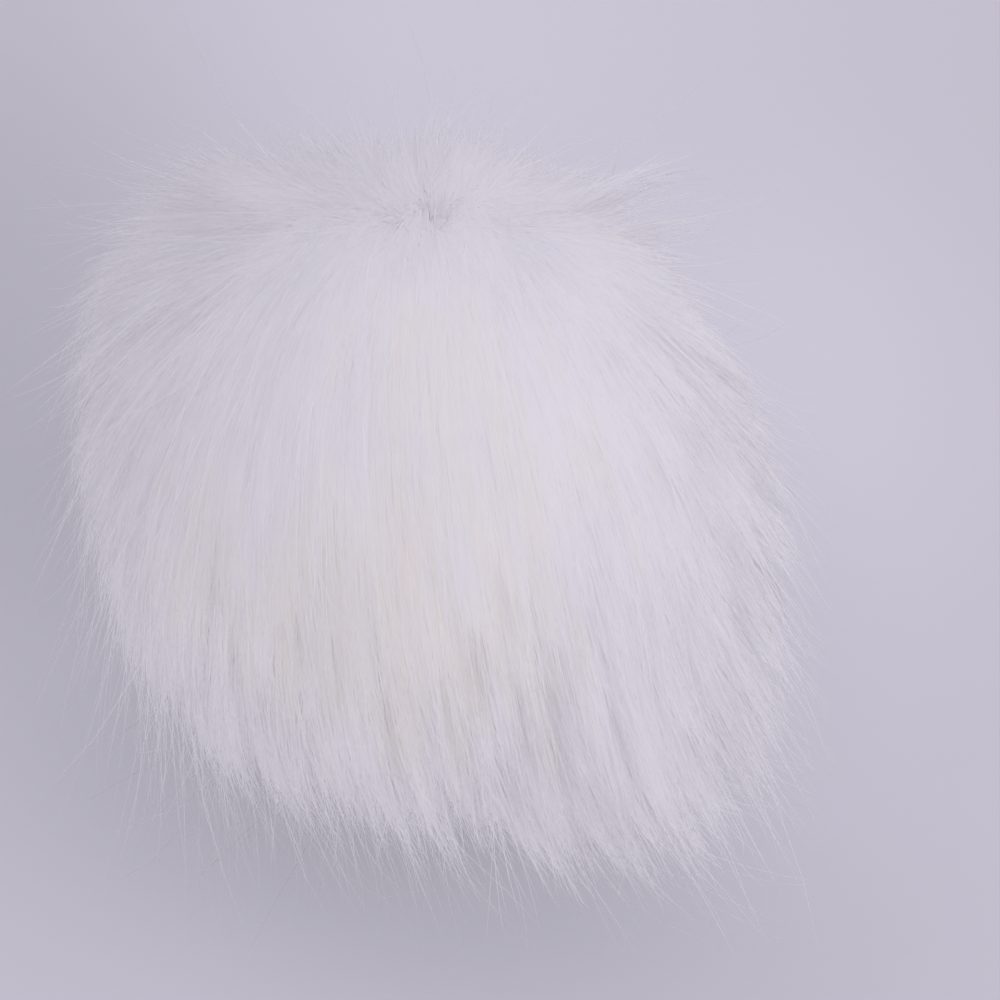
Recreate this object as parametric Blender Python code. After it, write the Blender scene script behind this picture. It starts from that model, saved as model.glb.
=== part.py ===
"""A round pom pom of long white faux fur, resting on a level surface.

The pom pom is one solid: a gathered ball, which is the backing, and its pile, in
three-sided locks that are fused to the ball at their roots and stand apart from
there on. Every lock follows the way the pile is combed, so neighbours lie side by
side and never cross. Metres, +Z up, with the origin on the surface under the middle.
"""

import math

import bmesh
import bpy
import numpy as np

# Driving dimensions.
BALL_CENTRE = (0.0019, 0.0008, 0.0470)  # of the gathered ball that the pile grows from
BALL_RADIUS = 0.045
PILE_REACH = 0.069  # from the ball's centre to the tips of the pile, before REACHES
PAD_FACES = 20  # faces at the bottom of the ball that are pressed flat on the surface
PAD_RADIUS = 0.021
BARE_FACES = 44  # faces at the bottom, the pad's too, that carry no lock
FLOOR_LAYER = 0.006  # pile lower than this is bent level on the surface
FLOOR_EASE = 0.004  # how gradually the pile shortens where it would reach the surface

# The way the pile is combed: away from a crown at the top of the back, and towards
# a parting low on the right. Under the ball it fans out over the surface.
CROWN = (96, 66)  # azimuth from +X and elevation, in degrees
CROWN_RIDGE = 0.6  # above 0 the crown is drawn out to a ridge, from left to right
PARTING = (-13, -52)
PARTING_PULL = 0.57  # how strongly the pile turns to the parting, against 1 away from the crown
COMBED_ANGLE = 0.65  # the most that a lock runs round the ball from root to tip, in radians
CROWN_SPREAD = 0.32  # within about this angle of the crown the pile stands up, in radians
PARTING_SPREAD = 1.65  # nearer the parting than this it stands out more and more
FAN = (0.25, 0.95)  # how far down the ball the fan starts, and where it is complete
FAN_SPEED = 0.35  # how far the fan runs, against 1 for the rest
COMB_STEPS = 16

# Where the pile reaches further than PILE_REACH, or less far.
REACHES = (
    # azimuth, elevation, spread (degrees), further by
    (-49, -27, 27, 0.024),  # the long sweep at the front right
    (146, 19, 24, 0.018),  # the shoulder at the back left
    (28, 17, 26, -0.010),  # the back right, combed close
    (38, 28, 13, 0.020),  # the tuft that sticks out there
    (-79, -31, 20, -0.003),  # the front, over the surface
)

# A lock's sections from root to tip.
SECTIONS = (
    # share of the length, share of the room between its neighbours
    (0.14, 0.87),
    (0.32, 0.80),
    (0.53, 0.64),
    (0.76, 0.40),
    (1.00, 0.07),
)
LENGTHS = (0.80, 1.04)  # the shortest and the longest lock, as shares of the full length
GUARD_EVERY = 4  # every so many locks, one is a lock of guard hairs, which runs on further
GUARD_LENGTHS = (1.10, 1.32)
RISE = 1.3  # how steeply a lock leaves the ball, against 1 for an even rise to its tip
BEND = 1.25  # above 1 a lock bends over more and more towards its tip
LEANS = (4.0, 4.0, 4.0)  # higher keeps a lock nearer the middle of its three corners
MIDWAY = 0.6  # the share of their length at which the locks are evenly spread
UNEVEN = 0.08  # how far from evenly, as a share of their spacing
SEED = 11

FUR_COLOUR = (0.86, 0.84, 0.87, 1.0)
FUR_ROUGHNESS = 0.85
SHARP_ANGLE = math.radians(50)

UP = np.array((0.0, 0.0, 1.0))
RIGHT = np.array((1.0, 0.0, 0.0))


def direction(azimuth, elevation):
    """The unit vector at this azimuth from +X and this elevation, in degrees."""
    turn = math.radians(azimuth)
    rise = math.radians(elevation)
    level = math.cos(rise)
    return np.array((level * math.cos(turn), level * math.sin(turn), math.sin(rise)))


def unit(vectors):
    """The same directions at length 1."""
    return vectors / np.linalg.norm(vectors, axis=-1, keepdims=True)


def dots(out, axis):
    return (out @ axis)[:, None]


def angle_from(out, axis):
    return np.arccos(np.clip(dots(out, axis), -1.0, 1.0))


def smooth_step(low, high, value):
    share = np.clip((value - low) / (high - low), 0.0, 1.0)
    return share * share * (3.0 - 2.0 * share)


def flow(out):
    """Which way the pile is combed along the ball, where the ball faces `out`."""
    crown = direction(*CROWN)
    parting = direction(*PARTING)
    ridge = unit(crown + CROWN_RIDGE * (dots(out, RIGHT) - crown[0]) * RIGHT)
    facing = (out * ridge).sum(axis=1, keepdims=True)
    from_crown = facing * out - ridge
    to_parting = parting - dots(out, parting) * out
    way = (1.0 - dots(out, parting)) * from_crown
    way = way + PARTING_PULL * (1.0 - facing) * to_parting
    way = way / np.maximum(np.linalg.norm(way, axis=1, keepdims=True), 1e-9)
    way = way * np.tanh(np.arccos(np.clip(facing, -1.0, 1.0)) / CROWN_SPREAD)
    way = way * np.tanh(angle_from(out, parting) / PARTING_SPREAD)
    fan = UP - dots(out, UP) * out
    fanned = smooth_step(*FAN, -dots(out, UP))
    return way * (1.0 - fanned) + fan * fanned * FAN_SPEED


def combed(out, share):
    """Where the directions `out` have got to after this share of the combed angle."""
    step = COMBED_ANGLE * share / COMB_STEPS
    for _ in range(COMB_STEPS):
        out = unit(out + flow(out) * step)
    return out


def reach(out):
    """How far from the ball's centre the pile's tips lie in these directions."""
    far = np.full((len(out), 1), PILE_REACH)
    for azimuth, elevation, spread, further in REACHES:
        off = angle_from(out, direction(azimuth, elevation)) / math.radians(spread)
        far = far + further * np.exp(-off * off)
    to_floor = BALL_CENTRE[2] / np.maximum(-dots(out, UP), 0.1)
    return -FLOOR_EASE * np.logaddexp(-far / FLOOR_EASE, -to_floor / FLOOR_EASE)


def pressed(points):
    """The points, with the low ones bent level just above the surface."""
    height = points[:, 2]
    low = FLOOR_LAYER * np.exp(np.minimum(height / FLOOR_LAYER - 1.0, 0.0))
    level = np.where(height < FLOOR_LAYER, low, height)
    return np.column_stack((points[:, 0], points[:, 1], level))


def pile_points(roots, share):
    """Where the pile rooted in these directions has got to at this share of its length."""
    tips = reach(combed(roots, 1.0))
    rise = RISE * share + (1.0 - RISE) * share * share
    radius = BALL_RADIUS + (tips - BALL_RADIUS) * rise
    return pressed(np.array(BALL_CENTRE) + radius * combed(roots, share**BEND))


def backing(mesh, rng):
    """Makes the gathered ball, at radius 1 for now; returns its faces, lowest first.

    Its corners are combed back from an even spread, so the locks are even midway.
    """
    bmesh.ops.create_icosphere(mesh, subdivisions=3, radius=1.0)
    spacing = next(iter(mesh.edges)).calc_length()
    even = np.array([vertex.co[:] for vertex in mesh.verts])
    midway = unit(even + rng.normal(size=even.shape) * UNEVEN * spacing)
    for vertex, root in zip(mesh.verts, combed(midway, -MIDWAY)):
        vertex.co = root
    return sorted(mesh.faces, key=lambda face: face.calc_center_median().z)


def grow_lock(mesh, face, length, lean):
    """Extrudes the face into a lock that follows the combed pile, section by section.

    `length` is a share of the full length, and `lean` says how near the lock's axis
    keeps to each of its three corners.
    """
    corners = unit(np.array([vertex.co[:] for vertex in face.verts]))
    for along, room in SECTIONS:
        cell = pile_points(corners, length * along)
        axis = lean @ cell
        face = bmesh.ops.extrude_discrete_faces(mesh, faces=[face])["faces"][0]
        for vertex, corner in zip(face.verts, cell):
            vertex.co = axis + (corner - axis) * room


def pad_corners(faces):
    """The corners of the pad, and those of them that lie on its rim."""
    pad = {vertex for face in faces[:PAD_FACES] for vertex in face.verts}
    beyond = {vertex for face in faces[PAD_FACES:] for vertex in face.verts}
    return pad, pad & beyond


def seat_ball(roots, pad, rim):
    """Brings the ball to its size and place, with its round pad flat on the surface."""
    for vertex in roots:
        point = np.array(BALL_CENTRE) + BALL_RADIUS * np.array(vertex.co)
        vertex.co = pressed(point[None])[0]
    for vertex in pad:
        vertex.co.z = 0.0
    for vertex in rim:
        vertex.co.xy = vertex.co.xy.normalized() * PAD_RADIUS


def fur_material():
    material = bpy.data.materials.new("white_fur")
    material.use_nodes = True
    surface = material.node_tree.nodes["Principled BSDF"]
    surface.inputs["Base Color"].default_value = FUR_COLOUR
    surface.inputs["Roughness"].default_value = FUR_ROUGHNESS
    surface.inputs["Metallic"].default_value = 0.0
    return material


def fur_ball():
    rng = np.random.default_rng(SEED)
    mesh = bmesh.new()
    faces = backing(mesh, rng)
    roots = list(mesh.verts)
    pad, rim = pad_corners(faces)
    for number, face in enumerate(faces[BARE_FACES:]):
        lengths = LENGTHS if number % GUARD_EVERY else GUARD_LENGTHS
        grow_lock(mesh, face, rng.uniform(*lengths), rng.dirichlet(LEANS))
    seat_ball(roots, pad, rim)
    bmesh.ops.recalc_face_normals(mesh, faces=mesh.faces)
    data = bpy.data.meshes.new("fur_ball")
    mesh.to_mesh(data)
    mesh.free()
    data.shade_smooth()
    data.set_sharp_from_angle(angle=SHARP_ANGLE)
    data.materials.append(fur_material())
    return bpy.data.objects.new("fur_ball", data)


def clear_scene():
    for thing in list(bpy.data.objects):
        bpy.data.objects.remove(thing, do_unlink=True)


def main():
    clear_scene()
    collection = bpy.data.collections.new("pom_pom")
    bpy.context.scene.collection.children.link(collection)
    collection.objects.link(fur_ball())


main()
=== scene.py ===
"""Looks of the white faux-fur pom pom: its pile, hair by hair, over a dense undercoat.

Every hair reaches as far as the solid's locks do and is combed round the ball as in
the photograph. Hairs gather into wisps, and wisps into locks. Metres, +Z up, as in the
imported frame.
"""

import math

import bmesh
import bpy
import numpy as np
from mathutils import Matrix, Vector


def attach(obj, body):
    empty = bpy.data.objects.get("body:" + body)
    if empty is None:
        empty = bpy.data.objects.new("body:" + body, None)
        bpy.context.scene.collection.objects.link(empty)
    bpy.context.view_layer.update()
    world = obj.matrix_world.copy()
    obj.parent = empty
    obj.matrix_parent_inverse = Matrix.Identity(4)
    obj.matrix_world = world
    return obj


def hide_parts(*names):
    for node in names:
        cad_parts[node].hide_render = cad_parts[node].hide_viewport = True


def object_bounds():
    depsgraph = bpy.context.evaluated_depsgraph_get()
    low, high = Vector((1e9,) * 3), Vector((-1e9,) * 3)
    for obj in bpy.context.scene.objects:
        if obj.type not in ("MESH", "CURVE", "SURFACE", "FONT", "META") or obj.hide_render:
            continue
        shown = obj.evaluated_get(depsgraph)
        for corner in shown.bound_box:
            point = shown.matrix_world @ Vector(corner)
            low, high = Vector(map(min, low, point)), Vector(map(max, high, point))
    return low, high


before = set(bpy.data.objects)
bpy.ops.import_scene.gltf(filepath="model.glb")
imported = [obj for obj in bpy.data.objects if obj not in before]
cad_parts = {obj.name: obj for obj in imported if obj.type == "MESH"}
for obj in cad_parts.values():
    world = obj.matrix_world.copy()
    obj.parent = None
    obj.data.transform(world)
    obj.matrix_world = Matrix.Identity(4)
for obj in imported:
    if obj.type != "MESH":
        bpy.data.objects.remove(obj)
cad_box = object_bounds()

# The ball and how far its pile reaches, as on the solid.
BALL_CENTRE = (0.0019, 0.0008, 0.0470)
PILE_REACH = 0.069  # from the ball's centre to the tips of the pile, before REACHES
FLOOR_LAYER = 0.006  # pile lower than this is bent level on the surface
FLOOR_EASE = 0.004  # how gradually the pile shortens where it would reach the surface
FLATTEST = 0.1  # the least fall of a direction that is taken to meet the surface
REACHES = (
    # azimuth, elevation, spread (degrees), further by
    (-49, -27, 27, 0.024),  # the long sweep at the front right
    (146, 19, 24, 0.018),  # the shoulder at the back left
    (28, 17, 26, -0.010),  # the back right, combed close
    (-79, -31, 20, -0.003),  # the front, over the surface
)
TUFT = (38, 28, 13, 0.020)  # some of the wisps stick out there
TUFTED = 0.22  # the share of the wisps that do

# How the pile is combed, as on the solid: away from the crown and to the parting.
CROWN = (96, 66)  # azimuth from +X and elevation, in degrees
CROWN_RIDGE = 0.6  # above 0 the crown is drawn out to a ridge, from left to right
PARTING = (-13, -52)
PARTING_PULL = 0.57  # how strongly the pile turns to the parting, against 1 away from the crown
COMBED_ANGLE = 0.65  # the most that a hair runs round the ball from root to tip, in radians
CROWN_SPREAD = 0.07  # less than the solid's: single hairs lie flat nearer the crown
PARTING_SPREAD = 1.65  # nearer the parting than this it stands out more and more
FAN = (0.25, 0.95)  # how far down the ball the fan starts, and where it is complete
FAN_SPEED = 0.35  # how far the fan runs, against 1 for the rest
COMB_STEPS = 8
BEND = 1.25  # above 1 a hair bends over more and more towards its tip
EVEN_AT = 0.65  # the share of their length at which the hairs are evenly spread

# Where the pile lies smooth and where it is lively, and where its tips are ragged. A
# pair below gives a value where the pile is lively, and then where it lies smooth.
# A name in _RAGGED gives what is added where the tips are ragged.
SMOOTH_SPOTS = (
    # azimuth, elevation, spread (degrees), how smoothly the pile lies
    (-90, 86, 44, 1.15),
    (-45, 14, 34, 0.50),
    (165, 48, 30, 0.45),
)
RAGGED_SPOTS = (
    # azimuth, elevation, spread (degrees), how ragged the pile's tips are
    (-85, -38, 44, 1.2),
    (-12, -10, 28, 0.6),
    (95, 12, 34, 0.9),
    (180, 12, 34, 0.5),
)
COAT = (0.74, 0.87)  # the undercoat's radius, as a share of the pile's reach
COAT_RAGGED = -0.06
COAT_SUBDIVISIONS = 5  # of the icosphere that it is made from
LYING = (0.69, 0.85)  # the radius that a hair's line starts from, likewise
LYING_RAGGED = -0.08

# The locks and the wisps. Uneven: how far from evenly they are spread, as a share of
# their spacing.
SEED = 5
LOCKS = 560
LOCKS_UNEVEN = 0.15
WISPS = 2600
WISPS_UNEVEN = 0.30
GATHER_CALM = 0.7  # how much less they gather and stray where the pile lies smooth
WISP_LENGTHS = (0.86, 1.0)  # the shortest and the longest wisp, as shares
WISP_LENGTHS_RAGGED = (-0.22, 0.10)
WISP_PULL = (0.05, 0.55)  # how far its hairs close in on a wisp: the least and the most
WISP_PULL_RAGGED = 0.42
WISP_CLOSING = 1.4  # above 1 they close in more towards the tip
WISP_DRIFT = 0.012  # how far a wisp strays at its tip, in radians
WISP_LIFT = 0.0006  # how far it stands up or lies down
WISP_SHIFT = 0.02  # how far a wisp's combing is displaced, in radians
WISP_TONE = 0.10  # how much the wisps' whites differ
LOCK_PULL = (0.0, 0.26)
LOCK_PULL_RAGGED = 0.35
LOCK_CLOSING = 1.8
LOCK_DRIFT = 0.015

# The hairs of the pile.
HAIRS = 120000
HAIRS_UNEVEN = 0.5  # also for the loose hairs
PIECES = ("left_front", "front", "right", "back", "left_back")  # anticlockwise
HAIR_CALM = 0.6  # how much less the hairs stray and turn where the pile lies smooth
HAIR_STIR = 0.3  # how much more they do where its tips are ragged
HAIR_SHORTEST = (0.52, 0.66)
HAIR_LONGEST = (1.16, 1.10)
HAIR_MIX = (2.0, 2.6)  # how the lengths between these are shared out, as a beta distribution
HAIR_CUT = 0.40  # a hair in a ragged tip is shorter by up to this share
HAIR_SECTIONS = (0.16, 0.42, 0.66, 0.86, 1.0)  # where a hair's sections lie along it
HAIR_RISE = 1.5  # how steeply a hair rises: above 1 it lies down near its tip
HAIR_BOW = 0.016  # how far a hair strays from its wisp at its tip, in radians
HAIR_LIFT = 0.0009
HAIR_WIDTH = (0.00009, 0.00021)
HAIR_TAPER = 0.6  # the share of its width that any hair loses on the way to its tip
HAIR_TURN = 0.5  # how far its flat side is turned either way, as a share of a half turn

# The loose hairs, which follow the pile and then run on out of it.
FOLLOWING = (0.55, 0.78, 1.0)  # where the sections lie along the part in the pile
RUNNING = (0.34, 0.67, 1.0)  # and along the part out of it
GUARDS = 7200
GUARDS_KEPT = 0.30  # the share of them that is kept
GUARDS_KEPT_RAGGED = 0.45
GUARD_LENGTH = (0.80, 1.08)
GUARD_RUN = (2.0, 0.0042)  # how far a hair runs on, as a gamma distribution
GUARD_RUN_LIMITS = (0.003, 0.024)
GUARD_ASTRAY = 0.17  # how much its heading changes
GUARD_AWAY = (0.0, 0.25)  # how much it turns away from the ball
GUARD_WIDTH = (0.00009, 0.00018)
FLYAWAYS = 600
FLYAWAY_LENGTH = (0.7, 1.0)
FLYAWAY_RUN = (0.010, 0.030)
FLYAWAY_ASTRAY = 0.45
FLYAWAY_AWAY = (0.0, 0.8)
FLYAWAY_WIDTH = (0.00013, 0.00022)
CLEARANCE = 0.0005  # how far off the surface the loose hairs keep
LOWEST = 0.0002  # a loose hair with a point lower than this is left out
PROUD = 0.0068  # how far a loose hair may stand out of the solid's box at the sides
PROUD_TOP = 0.0100

# How the hairs catch the light.
CRISP = (0.85, 0.12)  # the share of its own facing that a hair's shading keeps
TILT = (0.32, 0.05)  # how differently the wisps catch the light
SHADES = (0.12, 0.45)  # how far up from the shade between the hairs their roots start
SHADES_RAGGED = -0.10
CROWN_LIGHT = (96, 66, 16, 0.35)  # less painted shade on the roots that show at the crown
LOOSE_LEAN = 0.6  # how far the loose hairs' flat sides lean up to the light
LOOSE_TURN = 0.15  # how far they are turned either way, as a share of a half turn
LOOSE_CRISP = 0.2
LOOSE_SHADE = 0.9

# The white of each hair: its tone is a place on TONES.
TONES = (
    (0.05, (0.785, 0.780, 0.800)),  # dim: reached by the painted shade on the left side, and by hairs whose own tone is low
    (0.35, (0.872, 0.867, 0.898)),  # cool
    (0.55, (0.877, 0.872, 0.879)),  # white
    (0.90, (0.893, 0.860, 0.803)),  # warm
)
TONE = 0.38
TONE_WARM = 0.55  # how much is added to it where the white is warmest
TONE_MIX = 0.10  # how much it differs from hair to hair
TONE_LIMITS = (0.02, 0.98)
LOOSE_TONES = (0.4, 0.6)
SEEN_AT = 0.8  # the share of its combing at which a hair is seen
WARM_SPOTS = (
    # azimuth, elevation, spread (degrees), how warm
    (-95, 24, 26, 0.75),
    (-100, 74, 14, 0.45),
    (-62, 50, 18, 0.35),
    (-135, 24, 18, 0.45),
    # this spot is warm white, and it also lowers the white a little on the middle left as
    # painted shade
    (-140, 55, 30, 0.18),
)
PAINTED_SHADE_SIDE = (-170, 40, 60, 0.11)  # where the tone is lowered as painted shade on the fur's left side, and by how much
ROOT_SHADE = (
    # how far up the hair, the colour that its white is multiplied by: painted shade between the
    # hairs, darkest at the root
    (0.10, (0.72, 0.71, 0.71)),
    (0.75, (1.0, 1.0, 1.0)),
)
THROUGH = 0.45  # the share of the light that goes through a fibre
HAIR_ROUGHNESS = 0.42
# the undercoat's white, darker than the hairs' as painted shade deep in the pile; the noise
# between the two gives its own uneven tone
COAT_SHADED_TONES = (
    (0.35, (0.73, 0.72, 0.73)),
    (0.65, (0.78, 0.77, 0.78)),
)
COAT_ROUGHNESS = 0.9
COAT_NOISE = 260.0  # the scale of its noise pattern
COAT_NOISE_DETAIL = 3.0

# The view: from above the front, as the photograph was taken.
ELEVATION = 60
DISTANCE = 0.8
VIEW_WIDTH = 0.190  # at the ball's centre
SENSOR = 36.0
CLIP = (0.01, 20)
AIM = (0.0114, -0.0019)  # from the ball's centre to the picture's middle: right, up

LAMP_COLOUR = (0.95, 0.91, 1.0)
LAMPS = (
    # name, azimuth and elevation in degrees, distance, diameter, watts
    ("overhead", 70, 66, 1.4, 1.3, 1.3),
    ("right", 0, 46, 1.4, 0.8, 2.3),
    ("front", -55, 40, 1.4, 1.0, 2.1),
)
SKY = 0.53  # its strength
SKY_BOUNCED = 1.5  # the sky's strength where it stands for bounced light
CONTACT = 0.00004  # only what is nearer than this, within a hair's width, keeps that light out
NOISE_LIMIT = 0.04  # where a pixel's light is surer than this, no more is sampled
LEAST_SAMPLES = 16

FLOOR_SIDE = 4.0  # half of its width
FLOOR_ROUGHNESS = 0.8
FLOOR_COLOUR = (0.585, 0.584, 0.629)
POOLS = (
    # where on the floor, how wide and deep, how light in its middle against around it
    (-0.004, 0.150, 0.15, 0.18, 1.11),
    (-0.100, 0.070, 0.10, 0.15, 0.83),
    (-0.018, -0.048, 0.10, 0.055, 0.87),
    (0.036, -0.074, 0.09, 0.055, 0.90),
    (0.080, 0.048, 0.07, 0.09, 1.09),
    (0.000, 0.000, 0.10, 0.10, 0.82),
)

# Numbers for the arithmetic alone.
TINY = 1e-12
STILL = 1e-9  # combing slower than this has no way
NUDGE = 1e-5  # gives a side to a hair that points straight away from the ball
CHUNK = 8192  # points looked up at a time
UV_HALF_WIDTH = 0.004  # of a hair on the UV map
UV_MARGIN = 0.01  # below and above the hairs on it
UV_HEIGHT = 0.98

UP = np.array((0.0, 0.0, 1.0))
RIGHT = np.array((1.0, 0.0, 0.0))


def direction(azimuth, elevation):
    """The unit vector at this azimuth from +X and this elevation, in degrees."""
    turn = math.radians(azimuth)
    rise = math.radians(elevation)
    level = math.cos(rise)
    return np.array((level * math.cos(turn), level * math.sin(turn), math.sin(rise)))


def unit(vectors):
    """The same directions at length 1."""
    return vectors / np.maximum(np.linalg.norm(vectors, axis=-1, keepdims=True), TINY)


def dots(out, axis):
    return (out @ axis)[:, None]


def angle_from(out, axis):
    return np.arccos(np.clip(dots(out, axis), -1.0, 1.0))


def between(pair, share):
    """From the pair's first number at a share of 0 to its second at 1."""
    return pair[0] + (pair[1] - pair[0]) * share


def smooth_step(low, high, value):
    share = np.clip((value - low) / (high - low), 0.0, 1.0)
    return share * share * (3.0 - 2.0 * share)


def flow(out):
    """Which way the pile is combed along the ball, where the ball faces `out`."""
    crown = direction(*CROWN)
    parting = direction(*PARTING)
    ridge = unit(crown + CROWN_RIDGE * (dots(out, RIGHT) - crown[0]) * RIGHT)
    facing = (out * ridge).sum(axis=1, keepdims=True)
    from_crown = facing * out - ridge
    to_parting = parting - dots(out, parting) * out
    way = (1.0 - dots(out, parting)) * from_crown
    way = way + PARTING_PULL * (1.0 - facing) * to_parting
    way = way / np.maximum(np.linalg.norm(way, axis=1, keepdims=True), STILL)
    way = way * np.tanh(np.arccos(np.clip(facing, -1.0, 1.0)) / CROWN_SPREAD)
    way = way * np.tanh(angle_from(out, parting) / PARTING_SPREAD)
    fan = UP - dots(out, UP) * out
    fanned = smooth_step(*FAN, -dots(out, UP))
    return way * (1.0 - fanned) + fan * fanned * FAN_SPEED


def combed(out, share, shift=0.0):
    """Where the directions `out` have got to after this share of the combed angle.

    `share` is one number, or one for each direction. `shift` displaces the combing.
    """
    step = np.reshape(COMBED_ANGLE * np.asarray(share) / COMB_STEPS, (-1, 1))
    for _ in range(COMB_STEPS):
        out = unit(out + flow(unit(out + shift)) * step)
    return out


def hill(out, azimuth, elevation, wide, height):
    """A smooth hill of this height over the ball, with its top in this direction."""
    off = angle_from(out, direction(azimuth, elevation))[:, 0] / math.radians(wide)
    return height * np.exp(-off * off)


def hills(out, spots):
    return sum(hill(out, *spot) for spot in spots)


def smoothness(out):
    """0 where the pile is lively, up to 1 where it lies smooth."""
    return np.minimum(hills(out, SMOOTH_SPOTS), 1.0)


def raggedness(out):
    """1 where the tips of the pile are ragged, down to 0 where they are even."""
    return np.minimum(hills(out, RAGGED_SPOTS), 1.0)


def reach(out, tufted=0.0):
    """How far from the ball's centre the pile's tips lie in these directions."""
    far = PILE_REACH + tufted * hill(out, *TUFT)
    for place in REACHES:
        far = far + hill(out, *place)
    to_floor = BALL_CENTRE[2] / np.maximum(-out[:, 2], FLATTEST)
    return -FLOOR_EASE * np.logaddexp(-far / FLOOR_EASE, -to_floor / FLOOR_EASE)


def pressed(points):
    """The points, with the low ones bent level just above the surface."""
    height = points[..., 2]
    low = FLOOR_LAYER * np.exp(np.minimum(height / FLOOR_LAYER - 1.0, 0.0))
    made = points.copy()
    made[..., 2] = np.where(height < FLOOR_LAYER, low, height)
    return made


def spread(count, rng, uneven):
    """`count` directions spread evenly over the ball, and then moved unevenly.

    They lie on a spiral that turns by the golden angle from one to the next.
    """
    number = np.arange(count) + 0.5
    height = 1.0 - 2.0 * number / count
    turn = number * math.pi * (3.0 - math.sqrt(5.0))
    level = np.sqrt(1.0 - height * height)
    even = np.column_stack((level * np.cos(turn), level * np.sin(turn), height))
    spacing = math.sqrt(4.0 * math.pi / count)
    return unit(even + rng.normal(size=even.shape) * uneven * spacing)


def nearest(points, centres):
    """The index of the centre nearest to each point, on the unit sphere."""
    found = np.empty(len(points), np.int64)
    for start in range(0, len(points), CHUNK):
        part = slice(start, start + CHUNK)
        found[part] = (points[part] @ centres.T).argmax(1)
    return found


class Pile:
    """The wisps and the locks that the hairs gather into."""

    def __init__(self, rng):
        self.locks = combed(spread(LOCKS, rng, LOCKS_UNEVEN), -EVEN_AT)
        self.wisps = combed(spread(WISPS, rng, WISPS_UNEVEN), -EVEN_AT)
        self.lock_of_wisp = nearest(self.wisps, self.locks)
        self.style_wisps(rng)
        self.style_locks(rng)

    def style_wisps(self, rng):
        smooth = smoothness(self.wisps)
        lively = 1.0 - GATHER_CALM * smooth
        ragged = raggedness(combed(self.wisps, 1.0))
        shortest = WISP_LENGTHS[0] + WISP_LENGTHS_RAGGED[0] * ragged
        longest = WISP_LENGTHS[1] + WISP_LENGTHS_RAGGED[1] * ragged
        self.wisp_length = rng.uniform(shortest, longest)
        pull = rng.uniform(*WISP_PULL, WISPS)
        self.wisp_pull = pull * lively + WISP_PULL_RAGGED * ragged
        self.wisp_drift = rng.normal(size=(WISPS, 3)) * WISP_DRIFT * lively[:, None]
        self.wisp_lift = rng.normal(size=WISPS) * WISP_LIFT * lively
        self.wisp_shift = rng.normal(size=(WISPS, 3)) * WISP_SHIFT
        self.wisp_tilt = rng.normal(size=(WISPS, 3)) * between(TILT, smooth)[:, None]
        self.wisp_tone = rng.normal(size=WISPS) * WISP_TONE
        self.wisp_tufted = (rng.random(WISPS) < TUFTED) * 1.0

    def style_locks(self, rng):
        lively = 1.0 - GATHER_CALM * smoothness(self.locks)
        ragged = raggedness(combed(self.locks, 1.0))
        pull = rng.uniform(*LOCK_PULL, LOCKS)
        self.lock_pull = pull * lively + LOCK_PULL_RAGGED * ragged
        self.lock_drift = rng.normal(size=(LOCKS, 3)) * LOCK_DRIFT * lively[:, None]

    def gathered(self, roots, wisp, share):
        """The roots, drawn in to their wisps and locks as at this share of a hair."""
        lock = self.lock_of_wisp[wisp]
        pull = (self.wisp_pull[wisp] * share**WISP_CLOSING)[:, None]
        out = roots + (self.wisps[wisp] - roots) * pull
        pull = (self.lock_pull[lock] * share**LOCK_CLOSING)[:, None]
        out = out + (self.locks[lock] - out) * pull
        return out + (self.wisp_drift[wisp] + self.lock_drift[lock]) * share**2

    def hairs(self, roots, wisp, rng, shares, lengths):
        """The lines of hairs from these roots, as an array of hair, section, xyz."""
        count = len(roots)
        smooth = smoothness(roots)
        ragged = raggedness(combed(roots, 1.0))
        lively = 1.0 - HAIR_CALM * smooth + HAIR_STIR * ragged
        kept = 1.0 - HAIR_CUT * ragged * rng.random(count)
        length = self.wisp_length[wisp] * lengths * kept
        bow = rng.normal(size=(count, 3)) * HAIR_BOW * lively[:, None]
        lift = rng.normal(size=count) * HAIR_LIFT * lively + self.wisp_lift[wisp]
        shift = self.wisp_shift[wisp]
        near = reach(roots)
        far = reach(combed(roots, 1.0, shift), self.wisp_tufted[wisp])
        lying = between(LYING, smooth) + LYING_RAGGED * ragged
        lines = np.empty((count, len(shares), 3))
        for section, share in enumerate(shares):
            along = share * length
            out = unit(self.gathered(roots, wisp, share) + bow * share**2)
            out = combed(out, along**BEND, shift)
            rise = HAIR_RISE * along + (1.0 - HAIR_RISE) * along * along
            pile = near + (far - near) * np.minimum(along, 1.0)
            radius = pile * (lying + (1.0 - lying) * rise) + lift * share**0.5
            lines[:, section] = np.array(BALL_CENTRE) + radius[:, None] * out
        return pressed(lines)

    def loose_hairs(self, roots, rng, lengths, runs, astray, away):
        """Hairs that follow the pile and then run on, nearly straight, out of it.

        Each turns evenly, over its run, from its own heading to one that is `astray`
        and turned `away` from the ball.
        """
        wisp = nearest(roots, self.wisps)
        body = self.hairs(roots, wisp, rng, FOLLOWING, lengths)
        tip = body[:, -1]
        heading = unit(tip - body[:, -2])
        outward = unit(tip - np.array(BALL_CENTRE))
        turned = heading + rng.normal(size=heading.shape) * astray
        turned = unit(turned + outward * rng.uniform(*away, (len(roots), 1)))
        runs = runs[:, None]
        heading = above_floor(heading, tip, runs)
        turned = above_floor(turned, tip, runs)
        sections = [body[:, section] for section in range(body.shape[1])]
        for along in RUNNING:
            bent = heading * (along - 0.5 * along**2) + turned * 0.5 * along**2
            sections.append(tip + 2.0 * bent * runs)
        return within_reach(np.stack(sections, axis=1))


def above_floor(heading, tip, runs):
    """The headings, levelled where they would run into the surface."""
    steepest = -np.maximum(tip[:, 2:] - CLEARANCE, 0.0) / (2.0 * runs)
    rise = np.maximum(heading[:, 2:], steepest)
    level = unit(heading[:, :2]) * np.sqrt(1.0 - rise * rise)
    return np.column_stack((level, rise))


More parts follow.
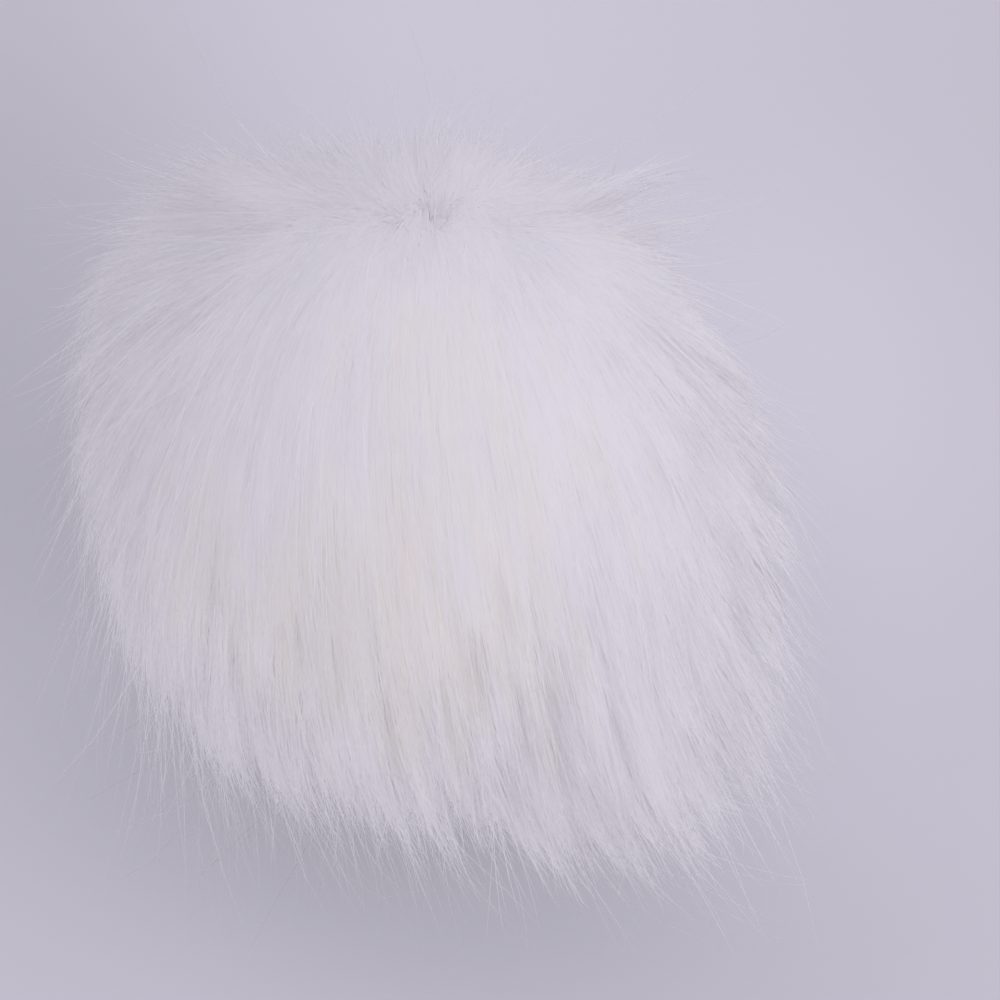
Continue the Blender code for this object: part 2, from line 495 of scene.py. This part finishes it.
def within_reach(lines):
    """The lines that keep inside the solid's box but for the room that fur may have."""
    low = np.array(cad_box[0]) - np.array((PROUD, PROUD, -LOWEST))
    high = np.array(cad_box[1]) + np.array((PROUD, PROUD, PROUD_TOP))
    inside = np.all((lines > low) & (lines < high), axis=(1, 2))
    return lines[inside]


def sides_and_shading(lines, turns, crisp, tilts, lean):
    """Which way each ribbon's width runs, and which way its shading faces.

    The flat sides face out of the ball, and up by `lean`, and are then turned round
    the hair's own line by `turns`. The shading faces out too, the way that light
    leaves a mass of fine fibres: `crisp` is the share of its own facing that a ribbon
    keeps, and `tilts` moves it.
    """
    along = unit(np.gradient(lines, axis=1))
    out = unit(unit(lines - np.array(BALL_CENTRE)) + lean * UP)
    side = unit(np.cross(along, out) + NUDGE)
    face = np.cross(along, side)
    turns = turns[:, None, None]
    across = side * np.cos(turns) + face * np.sin(turns)
    own = np.cross(across, along)
    facing = unit(out + tilts[:, None, :] + (own - out) * crisp[:, None, None])
    return across, facing


def pairs(left, right, middle):
    """Points that go left, right along each hair, and end in the middle of its tip."""
    body = np.stack((left[:, :-1], right[:, :-1]), axis=2).reshape(len(left), -1, 3)
    return np.concatenate((body, middle[:, -1:]), axis=1)


def ribbon_corners(quads):
    """The corners of one ribbon's faces: four-sided ones, and a three-sided tip."""
    corners = []
    for low in range(0, 2 * quads, 2):
        corners += [low, low + 1, low + 3, low + 2]
    last = 2 * quads
    return np.array(corners + [last, last + 1, last + 2])


def ribbon_mesh(name, points, normals, quads):
    """A mesh of ribbons with these points and shading; also its loops' points."""
    count, per_hair, _ = points.shape
    starts = np.arange(count) * per_hair
    loops = (starts[:, None] + ribbon_corners(quads)[None, :]).ravel()
    sizes = np.tile([4] * quads + [3], count)
    first = np.concatenate(([0], np.cumsum(sizes)[:-1]))
    mesh = bpy.data.meshes.new(name)
    mesh.vertices.add(count * per_hair)
    mesh.vertices.foreach_set("co", points.astype(np.float32).ravel())
    mesh.loops.add(len(loops))
    mesh.loops.foreach_set("vertex_index", loops.astype(np.int32))
    mesh.polygons.add(len(sizes))
    mesh.polygons.foreach_set("loop_start", first.astype(np.int32))
    mesh.polygons.foreach_set("loop_total", sizes.astype(np.int32))
    mesh.update(calc_edges=True)
    mesh.shade_smooth()
    mesh.normals_split_custom_set_from_vertices(normals.reshape(-1, 3))
    return mesh, loops


def map_looks(mesh, loops, tones, shades, share):
    """The UV map: each hair's tone across, and up from its shade at the root to 1."""
    edge = np.array([-1.0, 1.0] * (len(share) - 1) + [0.0])
    height = np.concatenate((np.repeat(share[:-1], 2), [1.0]))
    light = shades[:, None] + (1.0 - shades[:, None]) * height[None, :]
    u = tones[:, None] + UV_HALF_WIDTH * edge[None, :]
    v = UV_MARGIN + UV_HEIGHT * light
    uv = np.stack((u, v), axis=2).reshape(-1, 2)[loops]
    layer = mesh.uv_layers.new(name="OFBake")
    layer.uv.foreach_set("vector", uv.astype(np.float32).ravel())


def ribbons(name, lines, widths, tones, shades, facings, material):
    """One piece of thin ribbons along the lines, each ending in a point.

    `facings` holds what sides_and_shading takes.
    """
    sections = lines.shape[1]
    across, facing = sides_and_shading(lines, *facings)
    share = np.linspace(0.0, 1.0, sections)
    half = 0.5 * widths[:, None, None] * (1.0 - HAIR_TAPER * share**2)[None, :, None]
    points = pairs(lines - across * half, lines + across * half, lines)
    normals = pairs(facing, facing, facing)
    mesh, loops = ribbon_mesh(name, points, normals, sections - 2)
    map_looks(mesh, loops, tones, shades, share)
    mesh.materials.append(material)
    fur_piece(name, mesh).visible_shadow = False


def fur_piece(name, mesh):
    """Places a mesh as a piece of the pom pom."""
    piece = bpy.data.objects.new(name, mesh)
    bpy.context.scene.collection.objects.link(piece)
    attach(piece, "root")
    return piece


def node(tree, kind, **settings):
    made = tree.nodes.new(kind)
    for name, value in settings.items():
        setattr(made, name, value)
    return made


def ramp(tree, stops):
    """A colour ramp; each stop is a place from 0 to 1 and a colour."""
    made = node(tree, "ShaderNodeValToRGB")
    stops_made = made.color_ramp.elements
    while len(stops_made) < len(stops):
        stops_made.new(0.5)
    for stop, (place, colour) in zip(stops_made, stops):
        stop.position = place
        stop.color = (*colour, 1)
    return made


def multiplied(tree, first, second):
    """The product of two colours."""
    made = node(tree, "ShaderNodeMix", data_type="RGBA", blend_type="MULTIPLY")
    made.inputs["Factor"].default_value = 1.0
    tree.links.new(first, made.inputs["A"])
    tree.links.new(second, made.inputs["B"])
    return made.outputs["Result"]


def hair_colour(tree):
    """Each hair's white, darkened towards its root by painted shade between the hairs, as the
    UV map says.
    """
    uv = node(tree, "ShaderNodeUVMap", uv_map="OFBake")
    split = node(tree, "ShaderNodeSeparateXYZ")
    tone = ramp(tree, TONES)
    # the painted shade between the hairs, darkest at each root
    root = ramp(tree, ROOT_SHADE)
    tree.links.new(uv.outputs["UV"], split.inputs[0])
    tree.links.new(split.outputs["X"], tone.inputs["Fac"])
    tree.links.new(split.outputs["Y"], root.inputs["Fac"])
    return multiplied(tree, tone.outputs["Color"], root.outputs["Color"])


def fur_material():
    """White fibres, cool to warm from hair to hair, that let light through."""
    material = bpy.data.materials.new("white_fur_hair")
    material.use_nodes = True
    tree = material.node_tree
    tree.nodes.clear()
    output = node(tree, "ShaderNodeOutputMaterial")
    mix = node(tree, "ShaderNodeMixShader")
    mix.inputs["Fac"].default_value = THROUGH
    hair = node(tree, "ShaderNodeBsdfPrincipled")
    hair.inputs["Roughness"].default_value = HAIR_ROUGHNESS
    through = node(tree, "ShaderNodeBsdfTranslucent")
    colour = hair_colour(tree)
    tree.links.new(colour, hair.inputs["Base Color"])
    tree.links.new(colour, through.inputs["Color"])
    tree.links.new(hair.outputs[0], mix.inputs[1])
    tree.links.new(through.outputs[0], mix.inputs[2])
    tree.links.new(mix.outputs[0], output.inputs["Surface"])
    return material


def undercoat_material():
    material = bpy.data.materials.new("white_undercoat")
    material.use_nodes = True
    tree = material.node_tree
    surface = tree.nodes["Principled BSDF"]
    surface.inputs["Roughness"].default_value = COAT_ROUGHNESS
    noise = node(tree, "ShaderNodeTexNoise")
    noise.inputs["Scale"].default_value = COAT_NOISE
    noise.inputs["Detail"].default_value = COAT_NOISE_DETAIL
    # the undercoat's darker white, as painted shade deep in the pile, with uneven tone from the
    # noise
    tint = ramp(tree, COAT_SHADED_TONES)
    tree.links.new(noise.outputs["Fac"], tint.inputs["Fac"])
    tree.links.new(tint.outputs["Color"], surface.inputs["Base Color"])
    return material


def add_undercoat():
    """The dense fur under the hairs: the pile's own form, drawn in."""
    shape = bmesh.new()
    bmesh.ops.create_icosphere(shape, subdivisions=COAT_SUBDIVISIONS, radius=1.0)
    out = unit(np.array([vertex.co[:] for vertex in shape.verts]))
    coat = between(COAT, smoothness(out)) + COAT_RAGGED * raggedness(out)
    points = pressed(np.array(BALL_CENTRE) + (coat * reach(out))[:, None] * out)
    for vertex, point in zip(shape.verts, points):
        vertex.co = point
    mesh = bpy.data.meshes.new("undercoat")
    shape.to_mesh(mesh)
    shape.free()
    mesh.shade_smooth()
    mesh.materials.append(undercoat_material())
    piece = fur_piece("undercoat", mesh)
    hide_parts("fur_ball")


def tones_of(roots, rng):
    """Each hair's place between dim, cool and warm white; lower on the left side, as painted
    shade.
    """
    seen = combed(roots, SEEN_AT)
    tone = TONE + TONE_WARM * hills(seen, WARM_SPOTS) - hill(seen, *PAINTED_SHADE_SIDE)
    return tone + rng.normal(size=len(roots)) * TONE_MIX


def turns_of(roots, rng):
    """How far each hair's flat side is turned round its own line."""
    lively = 1.0 - HAIR_CALM * smoothness(roots)
    return rng.uniform(-HAIR_TURN, HAIR_TURN, len(roots)) * math.pi * lively


def shades_of(roots):
    """How far up from the shade between the hairs their roots start."""
    shades = between(SHADES, smoothness(roots))
    shades = shades + SHADES_RAGGED * raggedness(combed(roots, 1.0))
    return shades + hill(roots, *CROWN_LIGHT)


def scattered(count, rng):
    """Roots from which `count` hairs are evenly spread at EVEN_AT of their length."""
    return combed(spread(count, rng, HAIRS_UNEVEN), -EVEN_AT)


def add_hairs(name, roots, pile, rng, material):
    """One piece of the pile."""
    count = len(roots)
    smooth = smoothness(roots)
    shortest = between(HAIR_SHORTEST, smooth)
    longest = between(HAIR_LONGEST, smooth)
    lengths = shortest + (longest - shortest) * rng.beta(*HAIR_MIX, count)
    wisp = nearest(roots, pile.wisps)
    lines = pile.hairs(roots, wisp, rng, HAIR_SECTIONS, lengths)
    widths = rng.uniform(*HAIR_WIDTH, count)
    tones = np.clip(tones_of(roots, rng) + pile.wisp_tone[wisp], *TONE_LIMITS)
    turns = turns_of(roots, rng)
    facings = (turns, between(CRISP, smooth), pile.wisp_tilt[wisp], 0.0)
    ribbons(name, lines, widths, tones, shades_of(roots), facings, material)


def add_loose(name, lines, width, rng, material):
    """One piece of loose hairs, which all catch the light alike."""
    count = len(lines)
    widths = rng.uniform(*width, count)
    tones = rng.uniform(*LOOSE_TONES, count)
    shades = np.full(count, LOOSE_SHADE)
    turns = rng.uniform(-LOOSE_TURN, LOOSE_TURN, count) * math.pi
    facings = (turns, np.full(count, LOOSE_CRISP), np.zeros((count, 3)), LOOSE_LEAN)
    ribbons(name, lines, widths, tones, shades, facings, material)


def add_guards(pile, rng, material):
    roots = scattered(GUARDS, rng)
    kept = GUARDS_KEPT + GUARDS_KEPT_RAGGED * raggedness(combed(roots, 1.0))
    roots = roots[rng.random(GUARDS) < kept]
    lengths = rng.uniform(*GUARD_LENGTH, len(roots))
    runs = np.clip(rng.gamma(*GUARD_RUN, len(roots)), *GUARD_RUN_LIMITS)
    lines = pile.loose_hairs(roots, rng, lengths, runs, GUARD_ASTRAY, GUARD_AWAY)
    add_loose("guard_hairs", lines, GUARD_WIDTH, rng, material)


def add_flyaways(pile, rng, material):
    roots = scattered(FLYAWAYS, rng)
    lengths = rng.uniform(*FLYAWAY_LENGTH, FLYAWAYS)
    runs = rng.uniform(*FLYAWAY_RUN, FLYAWAYS)
    lines = pile.loose_hairs(roots, rng, lengths, runs, FLYAWAY_ASTRAY, FLYAWAY_AWAY)
    add_loose("flyaway_hairs", lines, FLYAWAY_WIDTH, rng, material)


def build_fur():
    add_undercoat()
    rng = np.random.default_rng(SEED)
    pile = Pile(rng)
    material = fur_material()
    roots = scattered(HAIRS, rng)
    round_the_ball = np.argsort(np.arctan2(roots[:, 1], roots[:, 0]))
    for name, part in zip(PIECES, np.array_split(roots[round_the_ball], len(PIECES))):
        add_hairs("pile_" + name, part, pile, rng, material)
    add_guards(pile, rng, material)
    add_flyaways(pile, rng, material)


def build_camera():
    rise = math.radians(ELEVATION)
    right = Vector((1, 0, 0))
    up = Vector((0, math.sin(rise), math.cos(rise)))
    back = Vector((0, -math.cos(rise), math.sin(rise)))
    aim = Vector(BALL_CENTRE) + right * AIM[0] + up * AIM[1]
    data = bpy.data.cameras.new("camera")
    data.sensor_width = SENSOR
    data.lens = SENSOR * DISTANCE / VIEW_WIDTH
    data.clip_start, data.clip_end = CLIP
    camera = bpy.data.objects.new("camera", data)
    camera.location = aim + back * DISTANCE
    camera.rotation_euler = Matrix((right, up, back)).transposed().to_euler()
    bpy.context.scene.collection.objects.link(camera)
    bpy.context.scene.camera = camera


def area_light(name, azimuth, elevation, distance, size, power):
    """A round lamp that faces the ball from this direction."""
    data = bpy.data.lights.new(name, "AREA")
    data.shape = "DISK"
    data.size = size
    data.energy = power
    data.color = LAMP_COLOUR
    lamp = bpy.data.objects.new(name, data)
    back = Vector(direction(azimuth, elevation))
    lamp.location = Vector(BALL_CENTRE) + back * distance
    lamp.rotation_euler = back.to_track_quat("Z", "Y").to_euler()
    bpy.context.scene.collection.objects.link(lamp)


def build_light():
    """Soft lamps, and an even sky whose light reaches in between the hairs."""
    world = bpy.data.worlds.new("studio")
    world.use_nodes = True
    sky = world.node_tree.nodes["Background"]
    sky.inputs["Color"].default_value = (*LAMP_COLOUR, 1)
    sky.inputs["Strength"].default_value = SKY
    world.light_settings.distance = CONTACT
    world.light_settings.ao_factor = SKY_BOUNCED
    bpy.context.scene.world = world
    light = bpy.context.scene.cycles
    light.use_fast_gi = True
    light.fast_gi_method = "REPLACE"
    light.ao_bounces = 1
    light.ao_bounces_render = 1
    light.debug_use_spatial_splits = True
    light.adaptive_threshold = NOISE_LIMIT
    light.adaptive_min_samples = LEAST_SAMPLES
    for lamp in LAMPS:
        area_light(*lamp)


def pool(tree, place, x, y, wide, deep, light):
    """The colour that a soft pool of light or shade multiplies the floor's by."""
    area = node(tree, "ShaderNodeMapping", vector_type="TEXTURE")
    area.inputs["Location"].default_value = (x, y, 0.0)
    area.inputs["Scale"].default_value = (wide, deep, 1.0)
    fall = node(tree, "ShaderNodeTexGradient", gradient_type="SPHERICAL")
    ease = ramp(tree, ((0.0, (1.0, 1.0, 1.0)), (1.0, (light, light, light))))
    ease.color_ramp.interpolation = "EASE"
    tree.links.new(place, area.inputs["Vector"])
    tree.links.new(area.outputs["Vector"], fall.inputs["Vector"])
    tree.links.new(fall.outputs["Fac"], ease.inputs["Fac"])
    return ease.outputs["Color"]


def floor_material():
    material = bpy.data.materials.new("floor")
    material.use_nodes = True
    tree = material.node_tree
    surface = tree.nodes["Principled BSDF"]
    surface.inputs["Roughness"].default_value = FLOOR_ROUGHNESS
    place = node(tree, "ShaderNodeTexCoord").outputs["Object"]
    colour = node(tree, "ShaderNodeRGB").outputs[0]
    colour.default_value = (*FLOOR_COLOUR, 1)
    for shape in POOLS:
        colour = multiplied(tree, colour, pool(tree, place, *shape))
    tree.links.new(colour, surface.inputs["Base Color"])
    return material


def build_floor():
    """A pale sheet, with soft pools of light and shade on it."""
    mesh = bpy.data.meshes.new("floor")
    side = FLOOR_SIDE
    corners = [(-side, -side, 0), (side, -side, 0), (side, side, 0), (-side, side, 0)]
    mesh.from_pydata(corners, [], [(0, 1, 2, 3)])
    mesh.materials.append(floor_material())
    floor = bpy.data.objects.new("floor", mesh)
    bpy.context.scene.collection.objects.link(floor)


build_camera()
build_light()
build_floor()
build_fur()
bpy.context.scene.view_settings.view_transform = "Standard"
bpy.context.scene.view_settings.look = "None"
